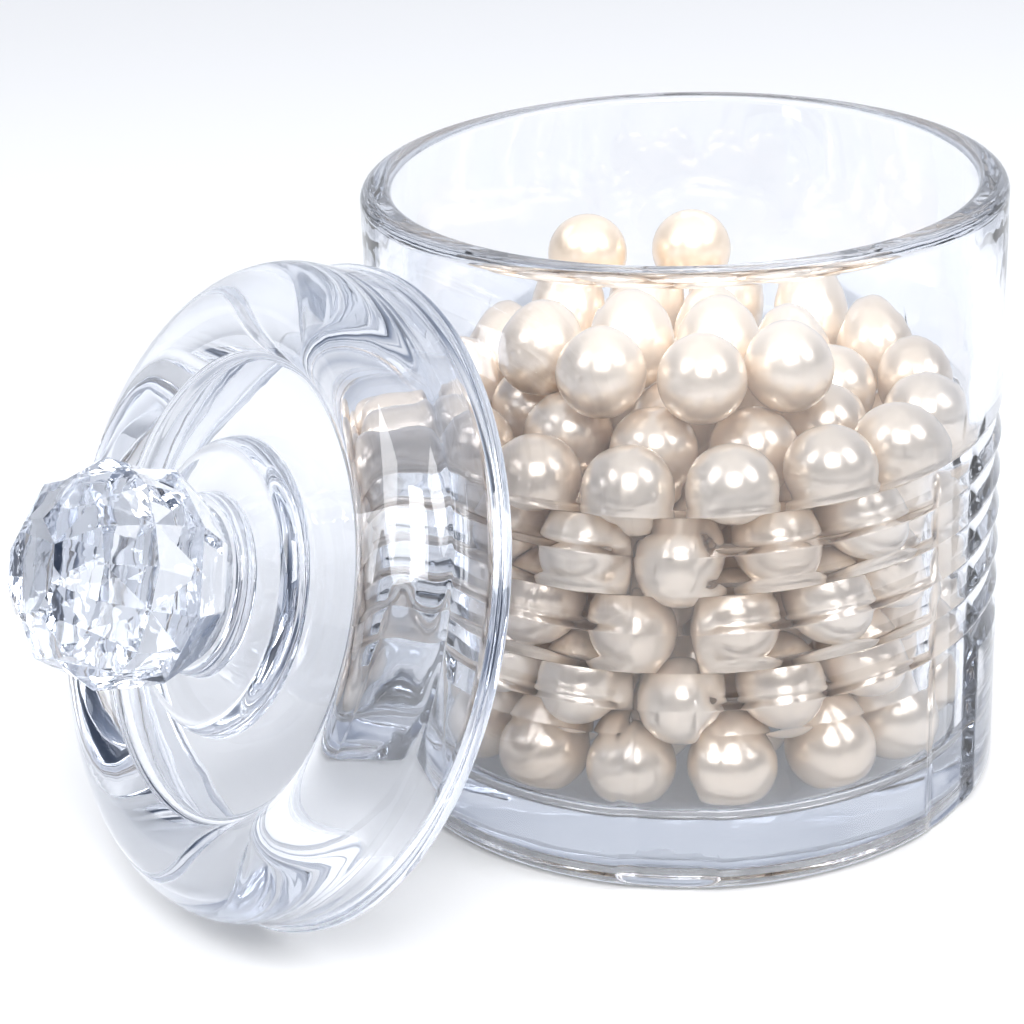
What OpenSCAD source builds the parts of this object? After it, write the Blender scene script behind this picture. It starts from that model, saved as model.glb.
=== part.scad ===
// Pressed-glass powder jar. The lid leans on the jar's side with its rim on the table,
// and the jar holds loose round pearls. Millimetres, +Z up, origin at the centre of the jar's foot.

/* [Jar] */
// Outer radius of the jar
jar_r = 52; // [48:1:56]
// Height of the jar
jar_h = 103; // [100:1:110]
// Thickness of the wall
wall_t = 5; // [4.5:0.5:6]
// Thickness of the glass under the contents
floor_t = 10; // [8:1:12]
// Rounding of the heel
heel_r = 3; // [2:0.5:4]
// Rounding of the rim's outer edge
rim_out_r = 2.2; // [1:0.2:2.4]
// Rounding of the rim's inner edge
rim_in_r = 1.2; // [0.6:0.2:2]
// Depth of the hollow under the foot
kick_depth = 1.2; // [0.6:0.2:2]

/* [Pressed pattern] */
// Number of grooves, one above the other, with a rib between each two
groove_count = 6; // [4:1:6]
// Height of one rib
rib_pitch = 6.5; // [6.2:0.1:6.8]
// Depth of the grooves and of the upright flutes
cut_depth = 1.2; // [0.8:0.1:1.4]
// Height of the lowest groove above the table
groove_low_z = 31.8; // [28:0.2:34]
// Number of upright flutes round the jar
flute_count = 6; // [4:1:8]
// Half the width of a flute's floor
flute_half_w = 5; // [4:0.5:6]
// Slope of a flute's sides, in degrees
flute_slope = 15.5; // [12:0.5:20]
// Height where a flute's floor starts to rise to the wall
flute_fade_z = 61; // [56:1:64]
// Height where a flute has run out
flute_top_z = 69; // [67:1:80]

/* [Lid] */
// Radius of the lid's thin lip
lid_r = 52; // [50:1:54]
// Height of the lid's shoulder above the lip
lid_h = 18.5; // [16:0.5:20]
// Radius of the plug that drops into the jar's mouth
plug_r = 46; // [44:0.5:46.5]
// Depth of the plug below the lip
plug_h = 4; // [3:0.5:6]
// Angle that the leaning lid makes with the upright
lean_angle = 21; // [12:1:30]
// Side of the jar that the lid leans on, turned from -X towards -Y
lean_turn = 40; // [0:5:90]

/* [Knob] */
// Radius of the cut ball
ball_r = 17.8; // [16:0.2:19]
// Number of points round each row of cuts
cut_count = 8; // [6:1:10]

/* [Pearls] */
// Radius of one pearl
pearl_r = 7; // [7:0.5:8]
// Full layers of pearls under the top of the heap
full_layers = 5; // [3:1:5]
// Seed for the small shifts of the pearls
pearl_seed = 7; // [1:1:99]

/* [Hidden] */
$fn = 96;
over = 1;

// Jar
cavity_r = jar_r - wall_t;
cavity_fillet = 5;
kick_r = jar_r - 9;
crest_round = 1.6;
crest_r = jar_r - 0.02;
under_crest = 0.37 * rib_pitch;
over_crest = rib_pitch - under_crest;
flute_r = jar_r - cut_depth;

// Lid, in its own frame: the lip's underside is z = 0 and the knob stands on +Z
edge_r = 0.6;
lip_t = 1.8;
lid_wall_r = lid_r - 1;
shoulder_r = 8.5;
hollow_r = 40;
hollow_top_z = 10;
plate_z = 15.5;
boss_r = 23;
boss_top_z = 19;
boss_round = 3;
collar_r = 14;
collar_top_z = 21.8;
collar_round = 1.2;
knob_z = 33.6;
neck_r = 12.2;

// The lean: the lip's edge stands on z = 0 and the plug's edge rests against the wall
lean_gap = 0.3;
lean_x = jar_r + lean_gap + (plug_r - edge_r) * sin(lean_angle)
       + (plug_h - edge_r) * cos(lean_angle) + edge_r;
lean_z = (lid_r - edge_r) * cos(lean_angle) + edge_r * (1 - sin(lean_angle));

// Pearls
clear_gap = 0.04;
shift_along = 0.7;
shift_in = 0.5;
ring_gap = 2 * pearl_r + shift_in + clear_gap;
outer_ring = [cavity_r - pearl_r - 0.1, 16];
middle_ring = [outer_ring[0] - ring_gap, 10];
inner_ring = [middle_ring[0] - ring_gap, 4];
pearl_turn = -98.5;
back_pair = [92, 119];
heap_back_y = -4;

glass = [0.86, 0.9, 0.97, 0.45];

// A solid of revolution's half outline: a bar from z0 to z1 with its far corners rounded
module round_bar(r, z0, z1, low_round, high_round) {
    translate([0, z0 + low_round]) square([r, z1 - z0 - low_round - high_round]);
    if (low_round > 0) {
        translate([0, z0]) square([r - low_round, low_round]);
        translate([r - low_round, z0 + low_round]) circle(low_round);
    }
    if (high_round > 0) {
        translate([0, z1 - high_round]) square([r - high_round, high_round]);
        translate([r - high_round, z1 - high_round]) circle(high_round);
    }
}

// ---- jar ----

module cavity() {
    rotate_extrude() round_bar(cavity_r, floor_t, jar_h + over, cavity_fillet, 0);
    rotate_extrude() difference() {
        translate([0, jar_h - rim_in_r]) square([cavity_r + rim_in_r, rim_in_r + over]);
        translate([cavity_r + rim_in_r, jar_h - rim_in_r]) circle(rim_in_r);
    }
}

// Turn of the point where a line from the groove's bottom, rise above a crest, touches the crest's round
function touch(rise) = let (x = crest_round - cut_depth)
    atan2(rise, x) - sign(rise) * acos(crest_round / norm([x, rise]));

// Part of a crest's round, from turn a to turn b
function crest_arc(z, a, b, steps = 8) = [for (k = [0 : steps]) let (t = a + (b - a) * k / steps)
    [crest_r - crest_round + crest_round * cos(t), z + crest_round * sin(t)]];

// What is taken off the plain wall: each groove runs from the steep underside of one rib to the
// long upper face of the next, like lapped boards
module rib_cut() {
    low = touch(-under_crest);
    high = touch(over_crest);
    sides = [for (i = [0 : groove_count - 1]) let (z = groove_low_z + i * rib_pitch)
        each concat(crest_arc(z - over_crest, i == 0 ? 0 : high / 2, high), [[crest_r - cut_depth, z]],
                    crest_arc(z + under_crest, low, i == groove_count - 1 ? 0 : high / 2 * 0.9))];
    first_z = groove_low_z - over_crest;
    last_z = groove_low_z + (groove_count - 1) * rib_pitch + under_crest;
    rotate_extrude() polygon(concat([[jar_r + over, first_z], [crest_r, first_z]], sides,
                                    [[crest_r, last_z], [jar_r + over, last_z]]));
}

// A flute: sloping sides down to a floor that follows the wall, and that rises to the wall at the top
module flute() {
    reach = 9;
    x = sqrt(flute_r * flute_r - flute_half_w * flute_half_w);
    difference() {
        translate([0, 0, -over]) linear_extrude(flute_top_z + over) polygon([
            [x - 1, -flute_half_w], [x, -flute_half_w],
            [x + reach * tan(flute_slope), -flute_half_w - reach],
            [x + reach * tan(flute_slope), flute_half_w + reach],
            [x, flute_half_w], [x - 1, flute_half_w]]);
        rotate_extrude() polygon([[0, -2 * over], [flute_r, -2 * over], [flute_r, flute_fade_z],
            [jar_r + 0.05, flute_top_z + 2 * over], [0, flute_top_z + 2 * over]]);
    }
}

module jar() {
    color(glass) difference() {
        rotate_extrude() round_bar(jar_r, 0, jar_h, heel_r, rim_out_r);
        cavity();
        rib_cut();
        for (k = [0 : flute_count - 1]) rotate(k * 360 / flute_count - 90) flute();
        translate([0, 0, -over]) cylinder(h = kick_depth + over, r = kick_r);
    }
}

// ---- lid and knob ----

module lean() {
    rotate(lean_turn) translate([-lean_x, 0, lean_z]) rotate([0, lean_angle - 90, 0]) children();
}

module lid_outline() {
    round_bar(lid_r, 0, lip_t, edge_r, edge_r);
    translate([0, lip_t / 2]) square([lid_wall_r, lid_h - shoulder_r - lip_t / 2]);
    translate([0, lid_h - shoulder_r]) square([lid_wall_r - shoulder_r, plate_z - lid_h + shoulder_r]);
    translate([lid_wall_r - shoulder_r, lid_h - shoulder_r]) circle(shoulder_r);
    round_bar(boss_r, plate_z - 1, boss_top_z, 0, boss_round);
    round_bar(collar_r, boss_top_z - 1, collar_top_z, 0, collar_round);
    translate([0, -plug_h]) round_bar(plug_r, 0, plug_h + lip_t / 2, edge_r, 0);
}

module lid() {
    color(glass) lean() rotate_extrude() difference() {
        lid_outline();
        round_bar(hollow_r, -plug_h - over, hollow_top_z, 0, 5);
    }
}

// A point at polar angle p and turn a on a ball of radius r
function on_ball(r, p, a) = [r * sin(p) * cos(a), r * sin(p) * sin(a), r * cos(p)];

// Rows of cuts from the flat table down to the neck, as polar angles
cut_rows = [26, 52, 78, 104, 130];
last_row = len(cut_rows) - 1;
valley_r = ball_r - 1;
cut_step = 360 / cut_count;
function row_turn(i) = (i % 2) * cut_step / 2;
function star(i, j) = i * cut_count + (j + cut_count) % cut_count;
function point(i, j) = (last_row + 1) * cut_count + (i - 1) * cut_count + (j + cut_count) % cut_count;
// Number of the star in the next row that lies after star j of row i
function after(i, j) = (i % 2) == 0 ? j : j + 1;

module cut_ball() {
    stars = [for (i = [0 : last_row], j = [0 : cut_count - 1])
        on_ball(valley_r, cut_rows[i], j * cut_step + row_turn(i))];
    points = [for (i = [1 : last_row - 1], j = [0 : cut_count - 1])
        on_ball(ball_r, cut_rows[i], (j + 0.5) * cut_step + row_turn(i))];
    pyramids = [for (i = [1 : last_row - 1], j = [0 : cut_count - 1])
        let (c = point(i, j), a = star(i, j), b = star(i, j + 1),
             up = star(i - 1, after(i, j)), down = star(i + 1, after(i, j)))
        each [[c, up, a], [c, b, up], [c, a, down], [c, down, b]]];
    crown = [for (j = [0 : cut_count - 1]) [star(0, j + 1), star(0, j), star(1, after(0, j))]];
    skirt = [for (j = [0 : cut_count - 1])
        [star(last_row, j), star(last_row, j + 1), star(last_row - 1, after(last_row, j))]];
    table = [[for (j = [0 : cut_count - 1]) star(0, cut_count - 1 - j)]];
    base = [[for (j = [0 : cut_count - 1]) star(last_row, j)]];
    polyhedron(concat(stars, points), concat(pyramids, crown, skirt, table, base), convexity = 4);
}

module knob() {
    color(glass) lean() {
        translate([0, 0, knob_z]) cut_ball();
        translate([0, 0, collar_top_z]) cylinder(h = knob_z - collar_top_z, r = neck_r);
    }
}

// ---- pearls ----

function ring_sites(ring, layer, seed) =
    let (n = ring[1], shift = rands(-1, 1, 2 * n, seed))
    [for (j = [0 : n - 1])
        let (a = pearl_turn + (j + (layer % 2) / 2) * 360 / n + shift[j] * asin(shift_along / ring[0]),
             r = ring[0] - shift_in * abs(shift[n + j]))
        [r * cos(a), r * sin(a)]];

function layer_sites(layer) = concat(
    ring_sites(outer_ring, layer, pearl_seed + 3 * layer),
    ring_sites(middle_ring, layer, pearl_seed + 3 * layer + 1),
    ring_sites(inner_ring, layer, pearl_seed + 3 * layer + 2));

// The heap's sites: the front of the jar's middle, and two against the wall at the back
function heap_sites(layer) = concat(
    [for (s = layer_sites(layer)) if (norm(s) < middle_ring[0] + 1 && s.y < heap_back_y) s],
    [for (a = back_pair) outer_ring[0] * [cos(a), sin(a)]]);

// Height at which a pearl lowered at s comes to rest on the floor or on the pearls below
function rest_z(s, below) = max(concat([floor_t + pearl_r + clear_gap],
    [for (q = below) let (d = norm([s.x - q.x, s.y - q.y]), gap = 2 * pearl_r + clear_gap)
        if (d < gap) q.z + sqrt(gap * gap - d * d)]));

function settle(sites, below, k = 0) = k == len(sites) ? below
    : settle(sites, concat(below, [[sites[k].x, sites[k].y, rest_z(sites[k], below)]]), k + 1);

per_layer = outer_ring[1] + middle_ring[1] + inner_ring[1];
all_sites = concat([for (layer = [0 : full_layers - 1]) each layer_sites(layer)], heap_sites(full_layers));
pearls = settle(all_sites, []);

module pearls_layer(layer) {
    first = layer * per_layer;
    last = layer < full_layers ? first + per_layer - 1 : len(pearls) - 1;
    color("seashell") for (k = [first : last]) translate(pearls[k]) sphere(pearl_r);
}

jar();
lid();
knob();
pearls_layer(0);  // pearls_layer_1
pearls_layer(1);  // pearls_layer_2
pearls_layer(2);  // pearls_layer_3
pearls_layer(3);  // pearls_layer_4
pearls_layer(4);  // pearls_layer_5
pearls_layer(5);  // pearls_heap
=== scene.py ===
import math

import bmesh
import bpy
from bpy.props import FloatProperty, IntProperty, PointerProperty
from mathutils import Matrix, Vector


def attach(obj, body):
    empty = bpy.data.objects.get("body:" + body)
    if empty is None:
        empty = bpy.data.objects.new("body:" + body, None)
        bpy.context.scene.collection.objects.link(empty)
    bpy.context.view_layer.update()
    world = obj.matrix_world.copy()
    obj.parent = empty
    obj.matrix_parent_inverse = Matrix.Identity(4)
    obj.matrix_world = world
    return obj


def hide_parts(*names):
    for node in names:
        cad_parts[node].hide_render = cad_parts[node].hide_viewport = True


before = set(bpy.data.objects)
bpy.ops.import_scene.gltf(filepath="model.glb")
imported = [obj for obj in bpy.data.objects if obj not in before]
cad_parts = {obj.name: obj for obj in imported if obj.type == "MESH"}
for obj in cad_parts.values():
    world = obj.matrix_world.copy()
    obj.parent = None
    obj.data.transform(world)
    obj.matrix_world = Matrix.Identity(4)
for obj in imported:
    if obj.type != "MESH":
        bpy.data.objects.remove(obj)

bl_info = {
    "name": "Powder jar",
    "version": (1, 0, 0),
    "blender": (4, 5, 0),
    "location": "View3D > Sidebar > Powder jar",
    "description": "Builds a pressed-glass powder jar, its leaning lid and its filling of pearls",
    "category": "Object",
}

MM = 0.001

# Sizes that pieces share, in the lid's own frame where they are heights
EDGE_ROUND = 0.6 * MM
PLUG_HEIGHT = 4 * MM
LEAN_GAP = 0.3 * MM
COLLAR_TOP = 21.8 * MM
KNOB_CENTRE = 33.6 * MM
NECK_RADIUS = 12.2 * MM
NECK_SINK = 0.08 * MM
CUT_ROWS = [26, 52, 78, 104, 130]

GLASS_TINT = (0.93, 0.945, 0.975, 1)
KNOB_TINT = (0.92, 0.935, 0.965, 1)
GLASS_DEPTH_COLOUR = (0.28, 0.36, 0.5, 1)

CAMERA_LENS = 100.1
CAMERA_PLACE = (0, -0.443, 0.233)
CAMERA_ROUND = math.radians(4)
CAMERA_YAW, CAMERA_PITCH, CAMERA_ROLL = -0.0665, 0.4025, -0.0375
LIGHT_AIM = (0, 0, 0.05)


# ---- properties -------------------------------------------------------------------------------

def length(name, text, value_mm):
    return FloatProperty(name=name, description=text, default=value_mm * MM, unit="LENGTH", precision=5)


class PowderJarSettings(bpy.types.PropertyGroup):
    jar_radius: length("Jar radius", "Outer radius of the jar", 52)
    jar_height: length("Jar height", "Height of the jar", 103)
    wall: length("Wall", "Thickness of the wall", 5)
    floor: length("Base", "Thickness of the glass under the contents", 10)
    kick: length("Kick", "Depth of the hollow under the foot", 1.2)
    groove_count: IntProperty(name="Grooves", description="Grooves, with a rib between each two",
                              default=6, min=2)
    rib_pitch: length("Rib height", "Height of one rib", 6.5)
    cut_depth: length("Cut depth", "Depth of the grooves and of the upright flutes", 1.2)
    groove_low: length("Lowest groove", "Height of the lowest groove", 31.8)
    groove_soft: length("Groove softness", "Rounding at the bottom of a groove", 0.25)
    flute_count: IntProperty(name="Flutes", description="Upright flutes round the jar", default=6, min=3)
    flute_half: length("Flute half width", "Half the width of a flute's floor", 5)
    flute_slope: FloatProperty(name="Flute slope", description="Slope of a flute's sides",
                               default=math.radians(15.5), subtype="ANGLE")
    flute_fade: length("Flute fade", "Height where a flute's floor starts to rise to the wall", 61)
    flute_top: length("Flute top", "Height where a flute has run out", 69)
    flute_soft: length("Flute edge", "Softness of a flute's fire-polished edges", 0.3)

    lid_radius: length("Lid radius", "Radius of the lid's thin lip", 52)
    lid_height: length("Lid height", "Height of the shoulder above the lip", 18.5)
    plug_radius: length("Plug radius", "Radius of the plug that drops into the mouth", 46)
    lean: FloatProperty(name="Lean", description="Angle between the lid and the upright",
                        default=math.radians(21), subtype="ANGLE")
    lean_turn: FloatProperty(name="Lean side", description="Side that the lid leans on, from -X towards -Y",
                             default=math.radians(40), subtype="ANGLE")

    ball_radius: length("Ball radius", "Radius of the knob's cut ball", 17.8)
    cut_count: IntProperty(name="Cuts", description="Points round each row of cuts", default=8, min=5)
    cut_bevel: length("Cut edge", "Rounding of the moulded edges between the cuts", 0.18)

    pearl_radius: length("Pearl radius", "Radius of one pearl", 7)
    tone_seed: IntProperty(name="Tone seed", description="Seed for each pearl's own tone", default=5)

    key_power: FloatProperty(name="Key power", description="Power of the front softbox in watts",
                             default=12.0)
    room: FloatProperty(name="Room", description="Brightness of the white part of the room", default=1.0)


# ---- outlines and meshes ----------------------------------------------------------------------

def arc(cx, cz, r, a0, a1, n):
    """Points on a circle's arc, angles in degrees."""
    return [(cx + r * math.cos(math.radians(a0 + (a1 - a0) * i / n)),
             cz + r * math.sin(math.radians(a0 + (a1 - a0) * i / n))) for i in range(n + 1)]


def line(p, q, n):
    return [(p[0] + (q[0] - p[0]) * i / n, p[1] + (q[1] - p[1]) * i / n) for i in range(n + 1)]


def joined(*runs):
    """One outline from several runs, without doubled points."""
    out = []
    for run in runs:
        for p in run:
            if not out or math.dist(p, out[-1]) > 1e-6:
                out.append(p)
    return out


def turned(name, outline, turns):
    """A closed solid of revolution: the outline starts and ends on the axis, turns lists the angles."""
    verts, faces, rows = [], [], []
    for r, z in outline:
        if r < 1e-7:
            rows.append([len(verts)])
            verts.append((0, 0, z))
        else:
            rows.append(list(range(len(verts), len(verts) + len(turns))))
            verts += [(r * math.cos(a), r * math.sin(a), z) for a in turns]
    n = len(turns)
    for low, high in zip(rows, rows[1:]):
        for j in range(n):
            k = (j + 1) % n
            if len(low) == 1:
                faces.append((low[0], high[k], high[j]))
            elif len(high) == 1:
                faces.append((low[j], low[k], high[0]))
            else:
                faces.append((low[j], low[k], high[k], high[j]))
    return mesh_object(name, verts, faces)


def mesh_object(name, verts, faces, smooth=True):
    mesh = bpy.data.meshes.new(name)
    mesh.from_pydata(verts, [], faces)
    bm = bmesh.new()
    bm.from_mesh(mesh)
    bmesh.ops.recalc_face_normals(bm, faces=bm.faces)
    for f in bm.faces:
        f.smooth = smooth
    bm.to_mesh(mesh)
    bm.free()
    obj = bpy.data.objects.new(name, mesh)
    bpy.context.scene.collection.objects.link(obj)
    return obj


def settled(obj):
    """Replaces the object's mesh by what its modifiers make of it."""
    bpy.context.view_layer.update()
    done = bpy.data.meshes.new_from_object(obj.evaluated_get(bpy.context.evaluated_depsgraph_get()))
    obj.modifiers.clear()
    old, obj.data = obj.data, done
    bpy.data.meshes.remove(old)
    if not done.polygons:
        raise RuntimeError(f"{obj.name} came out empty")
    return obj


def lean_matrix(s):
    """Where the lid stands: lip edge on the table, plug edge against the jar's wall."""
    away = (s.jar_radius + LEAN_GAP + (s.plug_radius - EDGE_ROUND) * math.sin(s.lean)
            + (PLUG_HEIGHT - EDGE_ROUND) * math.cos(s.lean) + EDGE_ROUND)
    up = (s.lid_radius - EDGE_ROUND) * math.cos(s.lean) + EDGE_ROUND * (1 - math.sin(s.lean))
    return (Matrix.Rotation(s.lean_turn, 4, "Z") @ Matrix.Translation((-away, 0, up))
            @ Matrix.Rotation(s.lean - math.pi / 2, 4, "Y"))


# ---- node trees -------------------------------------------------------------------------------

class Tree:
    """Small helper that adds nodes to a tree and links them."""

    def __init__(self, tree):
        self.tree = tree

    def node(self, kind, values=None, **settings):
        n = self.tree.nodes.new(kind)
        for key, value in settings.items():
            setattr(n, key, value)
        for key, value in (values or {}).items():
            self.put(n.inputs[key], value)
        return n

    def put(self, socket, value):
        if isinstance(value, bpy.types.NodeSocket):
            self.tree.links.new(value, socket)
        else:
            socket.default_value = value

    def math(self, operation, *values):
        n = self.tree.nodes.new("ShaderNodeMath")
        n.operation = operation
        for socket, value in zip(n.inputs, values):
            self.put(socket, value)
        return n.outputs[0]


def geometry_tree(name, inputs):
    """A geometry tree with a mesh input and the named inputs given as (name, socket type)."""
    tree = bpy.data.node_groups.new(name, "GeometryNodeTree")
    tree.interface.new_socket("Geometry", in_out="INPUT", socket_type="NodeSocketGeometry")
    for label, kind in inputs:
        tree.interface.new_socket(label, in_out="INPUT", socket_type=kind)
    tree.interface.new_socket("Geometry", in_out="OUTPUT", socket_type="NodeSocketGeometry")
    return tree, tree.nodes.new("NodeGroupInput"), tree.nodes.new("NodeGroupOutput")


def use_tree(obj, tree, values):
    mod = obj.modifiers.new(tree.name, "NODES")
    mod.node_group = tree
    for item in tree.interface.items_tree:
        if item.in_out == "INPUT" and item.name in values:
            mod[item.identifier] = values[item.name]
    return mod


def flute_tree():
    """Presses upright flutes with sloping sides into whatever wall it is given."""
    tree, start, end = geometry_tree("Press flutes", [
        ("Count", "NodeSocketInt"), ("Wall radius", "NodeSocketFloat"), ("Depth", "NodeSocketFloat"),
        ("Half width", "NodeSocketFloat"), ("Slope", "NodeSocketFloat"), ("Fade", "NodeSocketFloat"),
        ("Top", "NodeSocketFloat"), ("Edge", "NodeSocketFloat"), ("Material", "NodeSocketMaterial")])
    t = Tree(tree)
    g = start.outputs
    place = t.node("GeometryNodeInputPosition")
    xyz = t.node("ShaderNodeSeparateXYZ", {0: place.outputs[0]}).outputs
    radius = t.math("SQRT", t.math("ADD", t.math("MULTIPLY", xyz[0], xyz[0]),
                                   t.math("MULTIPLY", xyz[1], xyz[1])))
    turn = t.math("ADD", t.math("ARCTAN2", xyz[1], xyz[0]), math.pi / 2)
    half = t.math("DIVIDE", math.pi, g["Count"])
    phi = t.math("WRAP", turn, half, t.math("MULTIPLY", half, -1.0))
    deep = t.math("SUBTRACT", g["Wall radius"], g["Depth"])
    rise = t.math("DIVIDE", g["Depth"], t.math("SUBTRACT", g["Top"], g["Fade"]))
    over = t.math("MAXIMUM", t.math("SUBTRACT", xyz[2], g["Fade"]), 0.0)
    floor = t.math("ADD", deep, t.math("MULTIPLY", over, rise))
    lean = t.math("TANGENT", g["Slope"])
    corner = t.math("SQRT", t.math("SUBTRACT", t.math("MULTIPLY", deep, deep),
                                   t.math("MULTIPLY", g["Half width"], g["Half width"])))
    meet = t.math("SUBTRACT", corner, t.math("MULTIPLY", g["Half width"], lean))
    side = t.math("DIVIDE", meet, t.math("SUBTRACT", t.math("COSINE", phi), t.math(
        "MULTIPLY", t.math("ABSOLUTE", t.math("SINE", phi)), lean)))
    flute = t.math("SMOOTH_MAX", side, floor, g["Edge"])
    pressed = t.math("SMOOTH_MIN", radius, flute, g["Edge"])
    scale = t.math("DIVIDE", pressed, t.math("MAXIMUM", radius, 1e-6))
    moved = t.node("ShaderNodeCombineXYZ", {0: t.math("MULTIPLY", xyz[0], scale),
                                            1: t.math("MULTIPLY", xyz[1], scale), 2: xyz[2]})
    put = t.node("GeometryNodeSetPosition", {"Geometry": g["Geometry"], "Position": moved.outputs[0]})
    real = t.node("GeometryNodeRealizeInstances", {"Geometry": put.outputs[0]})
    coat = t.node("GeometryNodeSetMaterial", {"Geometry": real.outputs[0], "Material": g["Material"]})
    t.put(end.inputs[0], coat.outputs[0])
    return tree


def pearl_tree():
    """Sets one round pearl on every point, each turned its own way and with its own tone."""
    tree, start, end = geometry_tree("Set pearls", [
        ("Radius", "NodeSocketFloat"), ("Seed", "NodeSocketInt"), ("Material", "NodeSocketMaterial")])
    t = Tree(tree)
    g = start.outputs
    ball = t.node("GeometryNodeMeshIcoSphere", {"Radius": g["Radius"], "Subdivisions": 4})
    spin = t.node("FunctionNodeRandomValue", {"Min": (0, 0, 0), "Max": (6.28, 6.28, 6.28), "Seed": g["Seed"]},
                  data_type="FLOAT_VECTOR")
    sets = t.node("GeometryNodeInstanceOnPoints", {"Points": g["Geometry"], "Instance": ball.outputs[0],
                                                   "Rotation": spin.outputs[0]})
    tone = t.node("FunctionNodeRandomValue", {"Seed": g["Seed"]}, data_type="FLOAT")
    tone_out = next(o for o in tone.outputs if o.enabled)
    named = t.node("GeometryNodeStoreNamedAttribute", {"Geometry": sets.outputs[0], "Name": "tone"},
                   data_type="FLOAT", domain="INSTANCE")
    t.put(next(s for s in named.inputs if s.name == "Value" and s.enabled), tone_out)
    real = t.node("GeometryNodeRealizeInstances", {"Geometry": named.outputs[0]})
    smooth = t.node("GeometryNodeSetShadeSmooth", {"Geometry": real.outputs[0]})
    coat = t.node("GeometryNodeSetMaterial", {"Geometry": smooth.outputs[0], "Material": g["Material"]})
    t.put(end.inputs[0], coat.outputs[0])
    return tree


# ---- materials --------------------------------------------------------------------------------

def new_material(name):
    mat = bpy.data.materials.new(name)
    mat.use_nodes = True
    mat.node_tree.nodes.clear()
    t = Tree(mat.node_tree)
    shader = t.node("ShaderNodeBsdfPrincipled")
    out = t.node("ShaderNodeOutputMaterial", {"Surface": shader.outputs[0]})
    return mat, t, shader, out


def glass_material(name, tint, wave_mm, wave_depth, haze):
    """Clear pressed glass: cooler where it is thick, with a slightly wavy skin and haze in patches."""
    mat, t, shader, out = new_material(name)
    where = t.node("ShaderNodeTexCoord").outputs["Object"]
    wave = t.node("ShaderNodeTexNoise", {"Vector": where, "Scale": 1000 / wave_mm, "Detail": 2.0,
                                         "Roughness": 0.4})
    bump = t.node("ShaderNodeBump", {"Height": wave.outputs[0], "Strength": wave_depth, "Distance": 0.001})
    patch = t.node("ShaderNodeTexNoise", {"Vector": where, "Scale": 55.0, "Detail": 3.0})
    rough = t.node("ShaderNodeMapRange", {"Value": patch.outputs[0], "From Min": 0.45, "From Max": 0.75,
                                          "To Min": 0.0, "To Max": haze})
    t.put(shader.inputs["Base Color"], tint)
    t.put(shader.inputs["Transmission Weight"], 1.0)
    t.put(shader.inputs["IOR"], 1.52)
    t.put(shader.inputs["Roughness"], rough.outputs[0])
    t.put(shader.inputs["Normal"], bump.outputs[0])
    depth = t.node("ShaderNodeVolumeAbsorption", {"Color": GLASS_DEPTH_COLOUR, "Density": 5.0})
    t.put(out.inputs["Volume"], depth.outputs[0])
    return mat


def pearl_material():
    """Ivory pearl coat: each pearl has its own tone, with a soft cloudy variation over it."""
    mat, t, shader, _ = new_material("pearl_coat")
    tone = t.node("ShaderNodeAttribute", attribute_name="tone").outputs["Fac"]
    where = t.node("ShaderNodeTexCoord").outputs["Object"]
    cloud = t.node("ShaderNodeTexNoise", {"Vector": where, "Scale": 160.0, "Detail": 3.0}).outputs[0]
    mix = t.math("ADD", t.math("MULTIPLY", tone, 0.7), t.math("MULTIPLY", cloud, 0.3))
    ramp = t.node("ShaderNodeValToRGB", {"Fac": mix})
    ramp.color_ramp.elements[0].color = (0.88, 0.72, 0.56, 1)
    ramp.color_ramp.elements[1].color = (0.97, 0.85, 0.71, 1)
    t.put(shader.inputs["Base Color"], ramp.outputs[0])
    grain = t.node("ShaderNodeTexNoise", {"Vector": where, "Scale": 900.0, "Detail": 2.0}).outputs[0]
    rough = t.node("ShaderNodeMapRange", {"Value": grain, "To Min": 0.27, "To Max": 0.33})
    t.put(shader.inputs["Roughness"], rough.outputs[0])
    t.put(shader.inputs["Metallic"], 0.42)
    t.put(shader.inputs["IOR"], 1.6)
    t.put(shader.inputs["Coat Weight"], 0.6)
    t.put(shader.inputs["Coat Roughness"], 0.12)
    bump = t.node("ShaderNodeBump", {"Height": grain, "Strength": 0.1, "Distance": 0.00001})
    t.put(shader.inputs["Normal"], bump.outputs[0])
    return mat


def floor_material():
    mat, t, shader, _ = new_material("table_white")
    where = t.node("ShaderNodeTexCoord").outputs["Object"]
    grain = t.node("ShaderNodeTexNoise", {"Vector": where, "Scale": 3.0}).outputs[0]
    tone = t.node("ShaderNodeMapRange", {"Value": grain, "To Min": 0.77, "To Max": 0.79})
    t.put(shader.inputs["Base Color"], tone.outputs[0])
    t.put(shader.inputs["Roughness"], 0.5)
    t.put(shader.inputs["Emission Color"], (1, 1, 1, 1))
    t.put(shader.inputs["Emission Strength"], 0.11)
    return mat


# ---- pieces -----------------------------------------------------------------------------------

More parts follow.
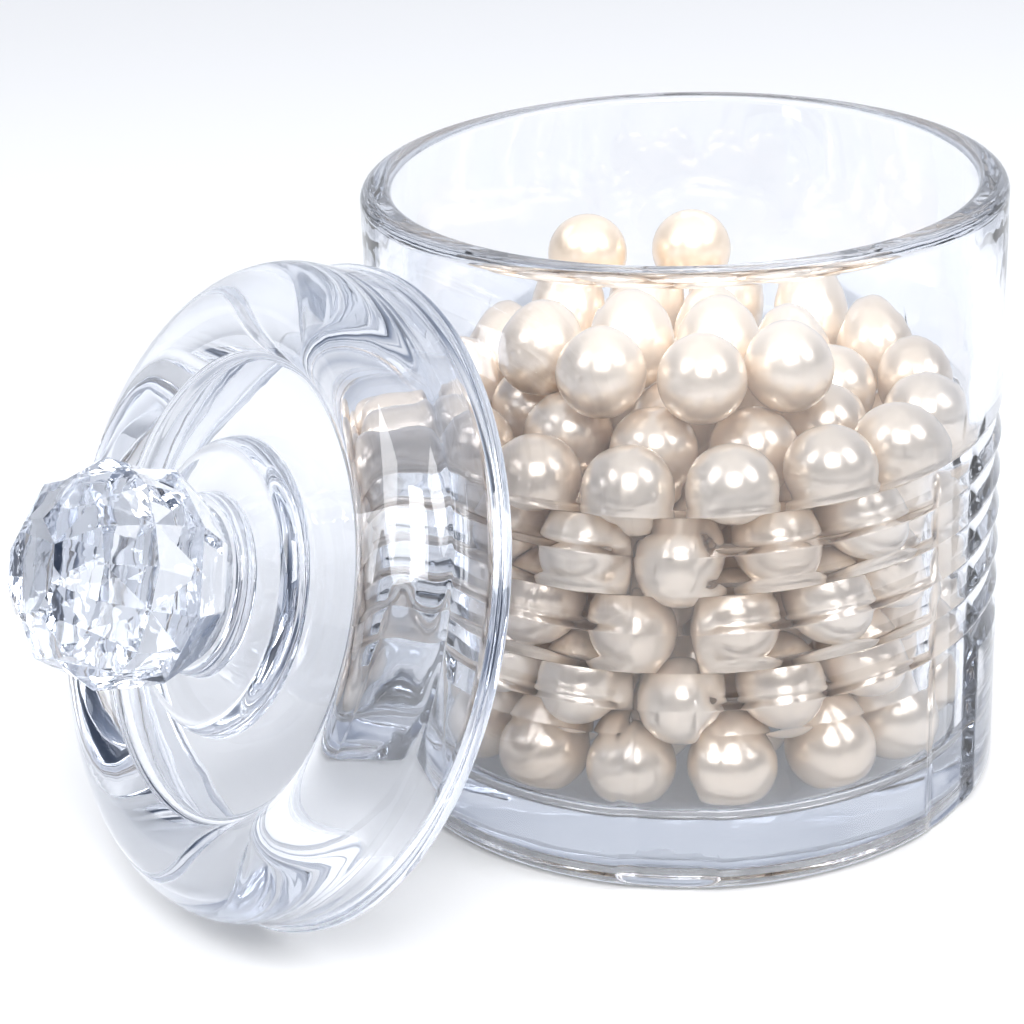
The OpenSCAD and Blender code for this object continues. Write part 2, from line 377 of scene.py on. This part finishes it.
def jar_outline(s):
    """Half outline of the plain jar with its ribs, from the middle of the foot round to the inner floor."""
    r, h, kick_r, heel = s.jar_radius, s.jar_height, s.jar_radius - 9 * MM, 3 * MM
    inner, fillet, rim_out, rim_in = r - s.wall, 5 * MM, 2.2 * MM, 1.2 * MM
    soft, crest, bend = 0.5 * MM, r - 0.02 * MM, 1.6 * MM
    under = 0.37 * s.rib_pitch
    above = s.rib_pitch - under

    def touch(rise):
        x = bend - s.cut_depth
        return math.degrees(math.atan2(rise, x) - math.copysign(math.acos(bend / math.hypot(x, rise)), rise))

    low, high = touch(-under), touch(above)
    first = s.groove_low - above
    last = s.groove_low + (s.groove_count - 1) * s.rib_pitch + under
    foot = joined([(0, s.kick)], line((kick_r - 12 * MM, s.kick), (kick_r - soft, s.kick), 2),
                  arc(kick_r - soft, s.kick - soft, soft, 90, 0, 4),
                  arc(kick_r + soft, soft, soft, 180, 270, 4),
                  arc(r - heel, heel, heel, 270, 360, 9), line((r, heel), (r, first - 0.4 * MM), 4))
    ribs = []
    for i in range(s.groove_count):
        z = s.groove_low + i * s.rib_pitch
        ribs += arc(crest - bend, z - above, bend, 0 if i == 0 else 0.5 * high, high, 5)
        end, start = ribs[-1], arc(crest - bend, z + under, bend, low, low, 1)[0]
        bottom = (crest - s.cut_depth, z)
        a, b = (Vector(p) - Vector(bottom) for p in (end, start))
        near = [tuple(Vector(bottom) + v.normalized() * s.groove_soft * k) for v in (a, b) for k in (1, 0.35)]
        middle = Vector(bottom) + (a.normalized() + b.normalized()) * s.groove_soft * 0.12
        ribs += line(end, near[0], 3)[1:] + [near[1], tuple(middle), near[3], near[2]]
        end_turn = 0 if i == s.groove_count - 1 else 0.45 * high
        ribs += [start] + arc(crest - bend, z + under, bend, low, end_turn, 5)
    wall = joined(line((r, last + 0.3 * MM), (r, s.flute_top + 3 * MM), 10), line((r, s.flute_top + 3 * MM),
                  (r, h - rim_out), 4),
                  arc(r - rim_out, h - rim_out, rim_out, 0, 90, 10),
                  arc(inner + rim_in, h - rim_in, rim_in, 90, 180, 7))
    inside = joined(line((inner, h - rim_in), (inner, s.floor + fillet), 5),
                    arc(inner - fillet, s.floor + fillet, fillet, 0, -90, 12),
                    line((inner - fillet, s.floor), (8 * MM, s.floor), 3), [(0, s.floor)])
    return joined(foot, ribs, wall, inside)


def jar_turns(s):
    """Angles round the jar, closest together at the edges of the flutes."""
    step = 360 / s.flute_count
    half = ([0, 1.6, 3.2, 4.5] + [5 + x / 4 for x in range(7)] + [7.2, 7.9] + [8.3 + x / 4 for x in range(6)]
            + [9.8 + (step / 2 - 9.8) * i / 10 for i in range(11)])
    sector = sorted({round(x, 4) for x in half} | {round(-x, 4) for x in half[:-1]})
    return [math.radians(-90 + step * k + x) for k in range(s.flute_count) for x in sector]


def lid_outline(s):
    """Half outline of the lid in its own frame, from the hollow's roof round to the collar's top."""
    lip, edge, wall, shoulder = 1.8 * MM, EDGE_ROUND, s.lid_radius - 1 * MM, 8.5 * MM
    plug, plug_h, hollow, roof = s.plug_radius, PLUG_HEIGHT, 40 * MM, 10 * MM
    plate, boss, boss_top, boss_round = 15.5 * MM, 23 * MM, 19 * MM, 3 * MM
    collar, collar_top, collar_round, soft = 14 * MM, COLLAR_TOP, 1.2 * MM, 0.4 * MM
    inner = wall - shoulder
    dip = math.degrees(math.asin((plate - s.lid_height + shoulder) / shoulder))
    return joined(
        [(0, roof)], line((10 * MM, roof), (hollow - 5 * MM, roof), 3),
        arc(hollow - 5 * MM, roof - 5 * MM, 5 * MM, 90, 0, 14),
        line((hollow, 5 * MM), (hollow, -plug_h + soft), 3),
        arc(hollow + soft, -plug_h + soft, soft, 180, 270, 4),
        arc(plug - edge, -plug_h + edge, edge, 270, 360, 6),
        line((plug, -plug_h + edge), (plug, -soft), 2), arc(plug + soft, -soft, soft, 180, 90, 4),
        arc(s.lid_radius - edge, edge, edge, 270, 360, 6),
        arc(s.lid_radius - edge, lip - edge, edge, 0, 90, 6),
        line((wall, lip + 0.1 * MM), (wall, s.lid_height - shoulder), 4),
        arc(inner, s.lid_height - shoulder, shoulder, 0, 180 - dip, 44),
        [(inner - shoulder * math.cos(math.radians(dip)) - 1 * MM, plate)],
        line((34 * MM, plate), (boss + soft, plate), 2), arc(boss + soft, plate + soft, soft, 270, 180, 4),
        arc(boss - boss_round, boss_top - boss_round, boss_round, 0, 90, 12),
        arc(collar + soft, boss_top + soft, soft, 270, 180, 4),
        arc(collar - collar_round, collar_top - collar_round, collar_round, 0, 90, 8), [(0, collar_top)])


def cut_ball(s):
    """Points and faces of the knob: rows of stars joined by raised points, as moulded diamond cuts."""
    rows, n, step = CUT_ROWS, s.cut_count, 360 / s.cut_count
    last, valley = len(rows) - 1, s.ball_radius - 1 * MM

    def on_ball(r, p, a):
        p, a = math.radians(p), math.radians(a)
        return (r * math.sin(p) * math.cos(a), r * math.sin(p) * math.sin(a), KNOB_CENTRE + r * math.cos(p))

    def turn(i):
        return (i % 2) * step / 2

    def star(i, j):
        return i * n + j % n

    def after(i, j):
        return j + i % 2

    verts = [on_ball(valley, p, j * step + turn(i)) for i, p in enumerate(rows) for j in range(n)]
    faces = []
    for i in range(1, last):
        for j in range(n):
            point = len(verts)
            verts.append(on_ball(s.ball_radius, rows[i], (j + 0.5) * step + turn(i)))
            a, b = star(i, j), star(i, j + 1)
            up, down = star(i - 1, after(i, j)), star(i + 1, after(i, j))
            faces += [(point, up, a), (point, b, up), (point, a, down), (point, down, b)]
    for j in range(n):
        faces.append((star(0, j + 1), star(0, j), star(1, after(0, j))))
        faces.append((star(last, j), star(last, j + 1), star(last - 1, after(last, j))))
    faces.append(tuple(star(0, j) for j in range(n)))
    return verts, faces, [star(last, j) for j in range(n)], [verts[star(last, j)] for j in range(n)]


def build_jar(s):
    jar = turned("jar_glass", jar_outline(s), jar_turns(s))
    glass = glass_material("jar_glass", GLASS_TINT, 9.0, 0.05, 0.03)
    use_tree(jar, flute_tree(), {"Count": s.flute_count, "Wall radius": s.jar_radius, "Depth": s.cut_depth,
                                 "Half width": s.flute_half, "Slope": s.flute_slope, "Fade": s.flute_fade,
                                 "Top": s.flute_top, "Edge": s.flute_soft, "Material": glass})
    settled(jar)
    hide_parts("jar")
    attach(jar, "jar")


def build_lid(s):
    lid = turned("lid_glass", lid_outline(s), [2 * math.pi * j / 240 for j in range(240)])
    lid.data.materials.append(glass_material("lid_glass", GLASS_TINT, 11.0, 0.08, 0.02))
    lid.data.transform(lean_matrix(s))
    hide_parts("lid")
    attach(lid, "lid")


def build_knob(s):
    verts, faces, ring, ends = cut_ball(s)
    neck, seat, sides = NECK_RADIUS, COLLAR_TOP - NECK_SINK, 8 * s.cut_count
    first = len(verts)
    low_z = ends[0][2]
    for z in (low_z, seat):
        verts += [(neck * math.cos(2 * math.pi * j / sides), neck * math.sin(2 * math.pi * j / sides), z)
                  for j in range(sides)]
    for j in range(sides):
        k = (j + 1) % sides
        faces.append((first + j, first + k, first + sides + k, first + sides + j))
    faces.append(tuple(first + sides + j for j in range(sides)))
    per = sides // s.cut_count
    for i in range(s.cut_count):
        turn = i * per
        mid = turn + per // 2
        for j in range(turn, turn + per):
            corner = ring[i] if j < mid else ring[(i + 1) % s.cut_count]
            faces.append((first + j % sides, first + (j + 1) % sides, corner))
        faces.append((first + mid % sides, ring[i], ring[(i + 1) % s.cut_count]))
    knob = mesh_object("knob_glass", verts, faces, smooth=False)
    bevel = knob.modifiers.new("Moulded edges", "BEVEL")
    bevel.width = s.cut_bevel
    bevel.segments = 2
    bevel.limit_method = "ANGLE"
    bevel.angle_limit = math.radians(12)
    bevel.harden_normals = True
    settled(knob)
    knob.data.materials.append(glass_material("knob_glass", KNOB_TINT, 5.0, 0.12, 0.05))
    knob.data.transform(lean_matrix(s))
    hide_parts("knob")
    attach(knob, "lid")


def pearl_places(node):
    """The centre of every closed ball in a CAD node."""
    bm = bmesh.new()
    bm.from_mesh(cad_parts[node].data)
    bmesh.ops.remove_doubles(bm, verts=bm.verts, dist=1e-6)
    seen, places = set(), []
    for v in bm.verts:
        if v in seen:
            continue
        seen.add(v)
        part, queue = [], [v]
        while queue:
            u = queue.pop()
            part.append(u.co.copy())
            for e in u.link_edges:
                w = e.other_vert(u)
                if w not in seen:
                    seen.add(w)
                    queue.append(w)
        places.append([(min(p[i] for p in part) + max(p[i] for p in part)) / 2 for i in range(3)])
    bm.free()
    return places


def build_pearls(s):
    coat, tree = pearl_material(), pearl_tree()
    for number, node in enumerate(sorted(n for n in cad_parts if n.startswith("pearls"))):
        mesh = bpy.data.meshes.new(node)
        mesh.from_pydata(pearl_places(node), [], [])
        obj = bpy.data.objects.new(node + "_balls", mesh)
        bpy.context.scene.collection.objects.link(obj)
        use_tree(obj, tree, {"Radius": s.pearl_radius, "Seed": s.tone_seed + number, "Material": coat})
        settled(obj)
        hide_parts(node)
        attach(obj, "jar")


def softbox(name, place, aim, size, power):
    lamp = bpy.data.lights.new(name, "AREA")
    lamp.shape = "RECTANGLE"
    lamp.size, lamp.size_y = size
    lamp.energy = power
    obj = bpy.data.objects.new(name, lamp)
    obj.location = place
    obj.rotation_euler = (Vector(aim) - Vector(place)).to_track_quat("-Z", "Y").to_euler()
    bpy.context.scene.collection.objects.link(obj)


def build_stage(s):
    table = turned("table", [(0, -0.012), (4.0, -0.012), (4.0, -0.0002), (0, -0.0002)],
                   [2 * math.pi * j / 64 for j in range(64)])
    table.data.materials.append(floor_material())

    world = bpy.data.worlds.new("room")
    bpy.context.scene.world = world
    world.use_nodes = True
    world.node_tree.nodes.clear()
    t = Tree(world.node_tree)
    way = t.node("ShaderNodeSeparateXYZ", {0: t.node("ShaderNodeTexCoord").outputs["Generated"]}).outputs
    back = t.node("ShaderNodeMapRange", {"Value": way[1], "From Min": 0.2, "From Max": 0.85},
                  clamp=True).outputs[0]
    above = t.node("ShaderNodeMapRange", {"Value": way[2], "From Min": 0.5, "From Max": 0.85},
                   clamp=True).outputs[0]
    low = t.node("ShaderNodeMapRange", {"Value": way[2], "From Min": 0.06, "From Max": 0.16, "To Min": 1.0,
                                        "To Max": 0.0}, clamp=True).outputs[0]
    light = t.math("MAXIMUM", t.math("MAXIMUM", back, above), low)
    tone = t.node("ShaderNodeValToRGB", {"Fac": light})
    tone.color_ramp.elements[0].color = (0.035, 0.05, 0.085, 1)
    tone.color_ramp.elements[1].color = (0.93, 0.95, 1, 1)
    middle = tone.color_ramp.elements.new(0.4)
    middle.color = (0.24, 0.29, 0.4, 1)
    sky = t.node("ShaderNodeBackground", {"Color": tone.outputs[0], "Strength": s.room})
    t.node("ShaderNodeOutputWorld", {"Surface": sky.outputs[0]})

    softbox("softbox_left", (-0.75, -0.55, 0.9), LIGHT_AIM, (0.45, 0.6), 0.5 * s.key_power)
    softbox("softbox_right", (0.85, -0.35, 0.9), LIGHT_AIM, (0.45, 0.6), 0.5 * s.key_power)
    softbox("softbox_key", (0.15, -0.85, 0.9), LIGHT_AIM, (0.55, 0.55), s.key_power)

    camera = bpy.data.cameras.new("camera")
    camera.sensor_width = 36
    camera.lens = CAMERA_LENS
    camera.clip_start = 0.01
    stand = bpy.data.objects.new("camera", camera)
    round_z = Matrix.Rotation(CAMERA_ROUND, 3, "Z")
    yaw, pitch, roll = CAMERA_YAW, CAMERA_PITCH, CAMERA_ROLL
    ahead = round_z @ Vector((math.sin(yaw) * math.cos(pitch), math.cos(yaw) * math.cos(pitch),
                              -math.sin(pitch)))
    right = ahead.cross(Vector((0, 0, 1))).normalized()
    up = right.cross(ahead)
    right, up = (right * math.cos(roll) + up * math.sin(roll), up * math.cos(roll) - right * math.sin(roll))
    turn = Matrix((right, up, -ahead)).transposed().to_4x4()
    stand.matrix_world = Matrix.Translation(round_z @ Vector(CAMERA_PLACE)) @ turn
    bpy.context.scene.collection.objects.link(stand)
    bpy.context.scene.camera = stand
    bpy.context.scene.view_settings.view_transform = "Standard"
    # Thick glass needs more turns of a light path than the usual four glossy ones, or it shows black patches
    cycles = bpy.context.scene.cycles
    cycles.max_bounces, cycles.glossy_bounces, cycles.transmission_bounces = 24, 16, 24


# ---- operators and panel ----------------------------------------------------------------------

class POWDERJAR_OT_jar(bpy.types.Operator):
    """Build the ribbed and fluted glass jar"""
    bl_idname = "powderjar.jar"
    bl_label = "Glass jar"

    def execute(self, context):
        build_jar(context.scene.powder_jar)
        return {"FINISHED"}


class POWDERJAR_OT_lid(bpy.types.Operator):
    """Build the round-shouldered glass lid where it leans on the jar"""
    bl_idname = "powderjar.lid"
    bl_label = "Glass lid"

    def execute(self, context):
        build_lid(context.scene.powder_jar)
        return {"FINISHED"}


class POWDERJAR_OT_knob(bpy.types.Operator):
    """Build the diamond-cut knob on the lid's collar"""
    bl_idname = "powderjar.knob"
    bl_label = "Cut knob"

    def execute(self, context):
        build_knob(context.scene.powder_jar)
        return {"FINISHED"}


class POWDERJAR_OT_pearls(bpy.types.Operator):
    """Fill the jar with pearls, one piece for each layer"""
    bl_idname = "powderjar.pearls"
    bl_label = "Pearls"

    def execute(self, context):
        build_pearls(context.scene.powder_jar)
        return {"FINISHED"}


class POWDERJAR_OT_stage(bpy.types.Operator):
    """Set the table, the room, the softboxes and the camera"""
    bl_idname = "powderjar.stage"
    bl_label = "Stage"

    def execute(self, context):
        build_stage(context.scene.powder_jar)
        return {"FINISHED"}


class POWDERJAR_PT_panel(bpy.types.Panel):
    """Lists the jar's pieces"""
    bl_label = "Powder jar"
    bl_idname = "POWDERJAR_PT_panel"
    bl_space_type = "VIEW_3D"
    bl_region_type = "UI"
    bl_category = "Powder jar"

    def draw(self, context):
        for op in OPERATORS:
            self.layout.operator(op.bl_idname)
        for name in PowderJarSettings.__annotations__:
            self.layout.prop(context.scene.powder_jar, name)


OPERATORS = (POWDERJAR_OT_jar, POWDERJAR_OT_lid, POWDERJAR_OT_knob, POWDERJAR_OT_pearls, POWDERJAR_OT_stage)
CLASSES = (PowderJarSettings,) + OPERATORS + (POWDERJAR_PT_panel,)


def register():
    for cls in CLASSES:
        bpy.utils.register_class(cls)
    bpy.types.Scene.powder_jar = PointerProperty(type=PowderJarSettings)


def unregister():
    del bpy.types.Scene.powder_jar
    for cls in reversed(CLASSES):
        bpy.utils.unregister_class(cls)


def main():
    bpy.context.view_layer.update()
    register()
    bpy.ops.powderjar.jar()
    bpy.ops.powderjar.lid()
    bpy.ops.powderjar.knob()
    bpy.ops.powderjar.pearls()
    bpy.ops.powderjar.stage()


if __name__ == "__main__":
    main()
